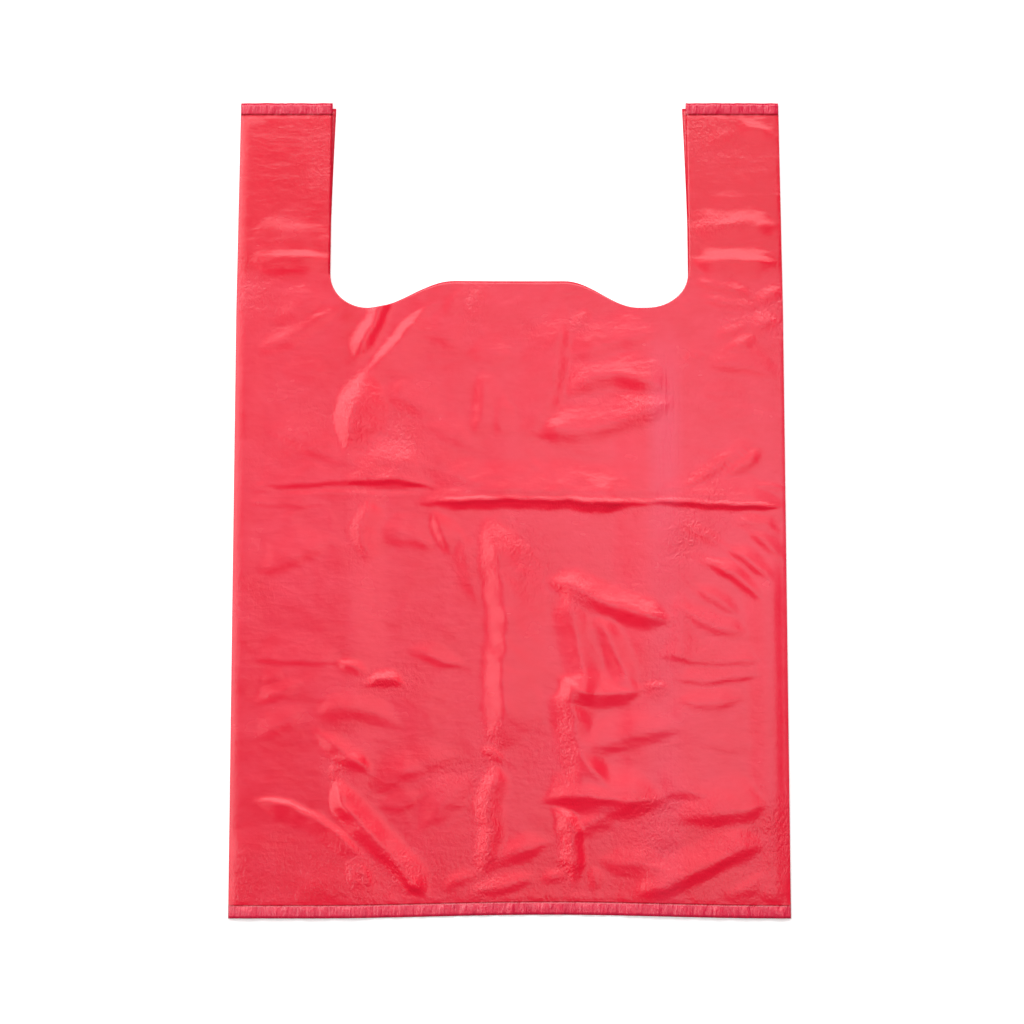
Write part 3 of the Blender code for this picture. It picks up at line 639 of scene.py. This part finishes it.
def shade_facts(mesh, facts):
    """Where painted sheen makes the film paler or deeper, where steep creases get painted shade and
    glow, where it is crumpled, and where it is welded.
    """
    x = facts["x"]
    y = facts["y"]
    front = facts["front"]
    above = y - weld_line(x)
    # Paler between the gussets, where two layers fewer lie under the front panel, and deeper on the
    # handles with their four layers; this tone and the patches added to it also carry painted sheen.
    between = smooth((x - LEFT_GUSSET_X + 1.0) / 3.0) * smooth((RIGHT_GUSSET_X + 1.0 - x) / 3.0)
    sheen_and_layers = 0.38 + 0.08 * between - 0.62 * smooth((y - 455.0) / 30.0)
    for middle_x, middle_y, half_width, half_height, amount in PAINTED_SHEEN:
        sheen_and_layers += amount * mound(x, y, middle_x, middle_y, half_width, half_height)
    crinkle = 0.06 + 0.25 * smooth((80.0 - y) / 50.0)
    for middle_x, middle_y, half_width, half_height, amount in CRINKLED:
        crinkle += amount * mound(x, y, middle_x, middle_y, half_width, half_height)
    # The inner fold of the right gusset shows faintly through the front panel.
    band = smooth((x - 97.0) / 11.0) * smooth((130.0 - x) / 14.0)
    band *= (0.3 + 0.7 * smooth((y - 240.0) / 120.0)) * smooth((450.0 - y) / 90.0)
    skirt = np.maximum(smooth((1.5 - above) / 3.0), smooth((y - TOP_WELD + 1.5) / 3.0))
    from_weld = np.minimum(np.abs(above), np.abs(y - TOP_WELD))
    weld = 1.1 - from_weld / 0.8
    # Painted shade and glow of light through the film, stronger where the film is steeper.
    crease_shade = facts["steep"] / 0.32
    store(mesh, "band", np.where(front, np.clip(band, 0.0, 1.0), 0.0))
    store(mesh, "crinkle", np.where(front, np.clip(crinkle, 0.0, 1.5), 0.1))
    store(mesh, "skirt", np.where(front, skirt, 0.0))
    store(mesh, "sheen_and_layers", np.where(front, np.clip(sheen_and_layers, 0.0, 1.0), 0.35))
    store(mesh, "crease_shade", np.where(front, np.clip(crease_shade, 0.0, 1.0), 0.0))
    store(mesh, "weld", np.where(front, np.clip(weld, 0.0, 1.0), 0.0))


def build_bag():
    """The film given its thickness, as one closed mesh."""
    mesh, facts = film_mesh()
    shade_facts(mesh, facts)
    mesh.shade_smooth()
    bag = bpy.data.objects.new("carrier_bag_film", mesh)
    bpy.context.scene.collection.objects.link(bag)
    wall = bag.modifiers.new("film", "SOLIDIFY")
    wall.thickness = FILM * MM
    wall.offset = 0.0
    wall.use_even_offset = False
    wall.use_rim = True
    evaluated = bag.evaluated_get(bpy.context.evaluated_depsgraph_get())
    thick = bpy.data.meshes.new_from_object(evaluated)
    bag.modifiers.clear()
    bag.data = thick
    return bag


class Value:
    """A shader socket that can be used in sums."""

    def __init__(self, graph, socket):
        self.graph = graph
        self.socket = socket

    def __add__(self, other):
        return self.graph.math("ADD", self, other)

    def __sub__(self, other):
        return self.graph.math("SUBTRACT", self, other)

    def __rsub__(self, other):
        return self.graph.math("SUBTRACT", other, self)

    def __mul__(self, other):
        return self.graph.math("MULTIPLY", self, other)

    def __abs__(self):
        return self.graph.math("ABSOLUTE", self, 0.0)

    __radd__ = __add__
    __rmul__ = __mul__

    def above_zero(self):
        return self.graph.math("MAXIMUM", self, 0.0)


class Graph:
    """The nodes of one material or of the world."""

    def __init__(self, tree):
        self.tree = tree

    def feed(self, socket, value):
        if isinstance(value, Value):
            self.tree.links.new(value.socket, socket)
        else:
            socket.default_value = value

    def node(self, kind, settings, inputs):
        """Adds a node, sets it up, and gives its sockets their values or links."""
        made = self.tree.nodes.new(kind)
        for name, value in settings.items():
            setattr(made, name, value)
        for name, value in inputs.items():
            self.feed(made.inputs[name], value)
        return made

    def math(self, operation, first, second):
        made = self.node("ShaderNodeMath", {"operation": operation}, {0: first, 1: second})
        return Value(self, made.outputs[0])

    def mix(self, amount, first, second):
        """A colour between two others."""
        settings = {"data_type": "RGBA", "clamp_factor": True}
        made = self.node("ShaderNodeMix", settings, {0: amount, 6: first, 7: second})
        return Value(self, made.outputs[2])

    def attribute(self, name):
        settings = {"attribute_name": name, "attribute_type": "GEOMETRY"}
        return Value(self, self.node("ShaderNodeAttribute", settings, {}).outputs["Fac"])

    def place(self):
        return Value(self, self.node("ShaderNodeTexCoord", {}, {}).outputs["Object"])

    def noise(self, scale, stretch, detail, roughness):
        mapping = self.node("ShaderNodeMapping", {}, {"Vector": self.place(), "Scale": stretch})
        inputs = {
            "Vector": Value(self, mapping.outputs["Vector"]),
            "Scale": scale,
            "Detail": detail,
            "Roughness": roughness,
        }
        return Value(self, self.node("ShaderNodeTexNoise", {}, inputs).outputs["Fac"])

    def bumped(self, height, strength, distance):
        inputs = {"Height": height, "Strength": strength, "Distance": distance}
        return Value(self, self.node("ShaderNodeBump", {}, inputs).outputs["Normal"])

    def from_middle(self):
        """Distance from the middle of the floor."""
        made = self.node("ShaderNodeVectorMath", {"operation": "LENGTH"}, {0: self.place()})
        return Value(self, made.outputs["Value"])

    def seen(self):
        """1 where the camera looks straight at the surface, 0 for light that bounces."""
        return Value(self, self.node("ShaderNodeLightPath", {}, {}).outputs["Is Camera Ray"])


def new_material(name):
    material = bpy.data.materials.new(name)
    material.use_nodes = True
    shader = material.node_tree.nodes["Principled BSDF"]
    return material, Graph(material.node_tree), shader.inputs


def red_film():
    """Glossy red film with painted sheen, painted shade and glow in steep creases, deeper at the
    welds, and finely crinkled.
    """
    material, graph, sockets = new_material("red_film")
    crinkle = graph.attribute("crinkle")
    skirt = graph.attribute("skirt")
    band = graph.attribute("band")
    mottle = graph.noise(26.0, (1.0, 1.6, 1.0), 3.0, 0.6)
    fine_mottle = graph.noise(130.0, (1.0, 2.2, 1.0), 2.0, 0.5)

    # Painted sheen and layer tone, with random mottling of the film.
    tone = graph.attribute("sheen_and_layers") + (mottle - 0.5) * 0.9 + (fine_mottle - 0.5) * 0.35
    colour = graph.mix(tone, DEEP_RED, PALE_SHEEN_RED)
    # Painted shade and glow in steep creases.
    colour = graph.mix(graph.attribute("crease_shade") * 0.9, colour, CREASE_SHADE_RED)
    colour = graph.mix(band * 0.45, colour, BAND_RED)
    colour = graph.mix(skirt * 0.5, colour, SKIRT_RED)
    colour = graph.mix(graph.attribute("weld"), colour, WELD_RED)

    folds = abs(graph.noise(210.0, (1.3, 1.0, 1.0), 3.0, 0.55) - 0.5)
    patches = (graph.noise(11.0, (1.0, 1.0, 1.0), 1.0, 0.4) - 0.45).above_zero()
    crumple = folds * (crinkle + patches * patches * 9.0) * -1.7
    streaks = graph.noise(190.0, (1.5, 0.35, 1.0), 2.0, 0.5) * skirt * 2.2
    ripple = graph.noise(60.0, (1.0, 3.4, 1.0), 4.0, 0.62) * 0.12
    creasing = abs(graph.noise(32.0, (1.0, 2.2, 1.0), 3.0, 0.55) - 0.5) * -0.75
    lines = graph.noise(420.0, (1.0, 0.03, 1.0), 2.0, 0.5) * band * 0.5
    height = crumple + streaks + ripple + creasing + lines

    graph.feed(sockets["Base Color"], colour)
    graph.feed(sockets["Normal"], graph.bumped(height, BUMP_STRENGTH, BUMP_DEPTH))
    graph.feed(sockets["Roughness"], mottle * 0.16 + 0.17)
    graph.feed(sockets["Specular IOR Level"], 0.62)
    return material


def white_floor():
    """A floor that keeps the bag's shadow and turns pure white further off."""
    material, graph, sockets = new_material("white_floor")
    far = (graph.from_middle() - WHITE_FROM) * 0.7
    glow = graph.mix(graph.seen(), BLACK, graph.mix(far, NEAR_GLOW, WHITE))
    graph.feed(sockets["Base Color"], FLOOR_GREY)
    graph.feed(sockets["Roughness"], 0.9)
    graph.feed(sockets["Specular IOR Level"], 0.1)
    graph.feed(sockets["Emission Color"], glow)
    graph.feed(sockets["Emission Strength"], 1.0)
    return material


def build_floor():
    shape = bmesh.new()
    bmesh.ops.create_grid(shape, x_segments=1, y_segments=1, size=FLOOR_REACH)
    mesh = bpy.data.meshes.new("floor")
    shape.to_mesh(mesh)
    shape.free()
    mesh.materials.append(white_floor())
    made = bpy.data.objects.new("floor", mesh)
    bpy.context.scene.collection.objects.link(made)
    return made


def studio_sky():
    """Dim light from all round, seen as white by the camera."""
    world = bpy.data.worlds.new("studio")
    world.use_nodes = True
    bpy.context.scene.world = world
    graph = Graph(world.node_tree)
    sockets = world.node_tree.nodes["Background"].inputs
    graph.feed(sockets["Color"], graph.mix(graph.seen(), DIM_SKY, WHITE))
    graph.feed(sockets["Strength"], 1.0)


def area_light(name, place, aim, width, height, power):
    lamp = bpy.data.lights.new(name, "AREA")
    lamp.shape = "RECTANGLE"
    lamp.size = width
    lamp.size_y = height
    lamp.energy = power
    made = bpy.data.objects.new(name, lamp)
    bpy.context.scene.collection.objects.link(made)
    made.location = place
    made.rotation_euler = (Vector(aim) - Vector(place)).to_track_quat("-Z", "Y").to_euler()


def build_camera():
    """Looks down from a little towards the bottom of the bag."""
    lens = bpy.data.cameras.new("camera")
    lens.lens = CAMERA_LENS
    lens.sensor_width = 36.0
    lens.clip_end = 50.0
    camera = bpy.data.objects.new("camera", lens)
    bpy.context.scene.collection.objects.link(camera)
    away = Vector((0.0, -math.sin(CAMERA_TILT), math.cos(CAMERA_TILT)))
    camera.location = Vector(CAMERA_AIM) + away * CAMERA_DISTANCE
    camera.rotation_euler = (CAMERA_TILT, 0.0, 0.0)
    bpy.context.scene.camera = camera


bag = build_bag()
bag.data.materials.clear()
bag.data.materials.append(red_film())
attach(bag, "root")
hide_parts("carrier_bag")

build_floor()
studio_sky()
area_light("softbox", (-0.2, 2.2, 2.35), (0.0, 0.0, 0.0), 5.4, 2.2, 121.0)
area_light("left_softbox", (-1.8, 0.15, 2.4), (0.0, 0.0, 0.0), 2.2, 2.0, 33.0)
area_light("overhead", (0.38, 0.1, 2.6), (0.1, 0.0, 0.0), 1.6, 1.2, 8.6)
build_camera()
bpy.context.scene.view_settings.view_transform = "Standard"
